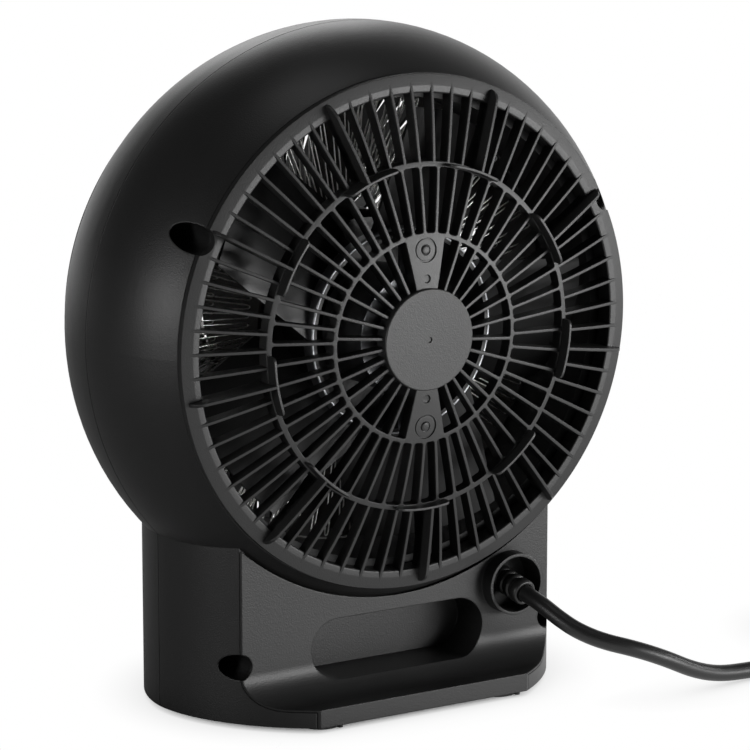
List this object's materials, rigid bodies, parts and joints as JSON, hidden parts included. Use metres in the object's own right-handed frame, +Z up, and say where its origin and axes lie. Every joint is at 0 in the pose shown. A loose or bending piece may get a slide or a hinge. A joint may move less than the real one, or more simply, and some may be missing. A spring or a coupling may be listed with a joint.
{
  "type": "fan heater",
  "caption": "Free-standing fan heater with a ball-shaped head, ribbed round intake grille, oval base with a rear finger recess, two front knobs and a mains cord.",
  "frame": {"origin": "on the floor, under the middle of the heater's box without its cord", "axes": "+X across to the heater's left as seen from behind, +Y towards the rear intake grille, +Z up"},
  "size_m": [0.461, 0.1931, 0.298],
  "materials": {
    "black_plastic": "fine matte texture",
    "grille_plastic": "fine matte texture",
    "fascia_plastic": "smooth satin",
    "fan_plastic": "satin",
    "duct_plastic": "satin",
    "control_plastic": "plain moulding",
    "cutout_plastic": "phenolic",
    "knob_plastic": "satin",
    "foot_rubber": "matte",
    "boot_rubber": "satin",
    "cord_sheath": "satin",
    "tie_strap": "satin",
    "plug_plastic": "satin",
    "plug_brass": "nickel plated",
    "zinc_screw": "zinc plated",
    "bright_steel": "ground",
    "motor_steel": "galvanised",
    "core_steel": "laminated",
    "heater_steel": "galvanised sheet",
    "heating_alloy": "bright resistance alloy",
    "bush_bronze": "sintered",
    "copper_wire": "enamelled",
    "mica": "pressed mica",
    "amber_lens": "tinted lens"
  },
  "bodies": {
    "housing": {"rear_shell": "black_plastic", "front_shell": "black_plastic", "rear_panel": "black_plastic", "base_plate": "black_plastic", "rubber_feet": "foot_rubber", "upper_housing_screws": "zinc_screw", "lower_housing_screws": "zinc_screw", "base_plate_screws": "zinc_screw", "rear_grille": "grille_plastic", "rear_hub_cap": "grille_plastic", "front_grille": "grille_plastic", "motor_bracket": "motor_steel", "motor_can": "motor_steel", "motor_bushes": "bush_bronze", "motor_stator": "core_steel", "motor_windings": "copper_wire", "motor_screws": "zinc_screw", "air_duct": "duct_plastic", "heater_sleeve": "mica", "heater_band": "heater_steel", "mica_cards": "mica", "rear_heating_ribbon": "heating_alloy", "front_heating_ribbon": "heating_alloy", "heater_core_disc": "mica", "overheat_cutout": "cutout_plastic", "thermal_fuse": "bright_steel", "control_fascia": "fascia_plastic", "thermostat_body": "control_plastic", "selector_body": "control_plastic", "pilot_lens": "amber_lens", "pilot_lamp": "control_plastic", "strain_relief_boot": "boot_rubber", "inner_cord": "cord_sheath", "cord_clamp": "control_plastic", "clamp_screws": "zinc_screw", "terminal_block": "control_plastic", "cord_lead": "cord_sheath", "cord_coil": "cord_sheath", "cord_tail": "cord_sheath", "coil_tie": "tie_strap", "plug_body": "plug_plastic", "plug_pins": "plug_brass"},
    "fan": {"fan_wheel": "fan_plastic", "motor_shaft": "bright_steel", "motor_rotor": "core_steel", "fan_nut": "zinc_screw"},
    "thermostat": {"thermostat_knob": "knob_plastic", "thermostat_spindle": "bright_steel"},
    "selector": {"selector_knob": "knob_plastic", "selector_spindle": "bright_steel"}
  },
  "joints": [
    {"name": "fan_spin", "type": "hinge", "parent": "housing", "child": "fan", "pos_m": [0, 0.03675, 0.168], "axis": [0, 1, 0], "continuous": true},
    {"name": "thermostat_turn", "type": "hinge", "parent": "housing", "child": "thermostat", "pos_m": [-0.02585, -0.05925, 0.027], "axis": [0, 1, 0], "range_deg": [-135, 135]},
    {"name": "selector_turn", "type": "hinge", "parent": "housing", "child": "selector", "pos_m": [0.02585, -0.05925, 0.027], "axis": [0, 1, 0], "range_deg": [0, 135]}
  ]
}
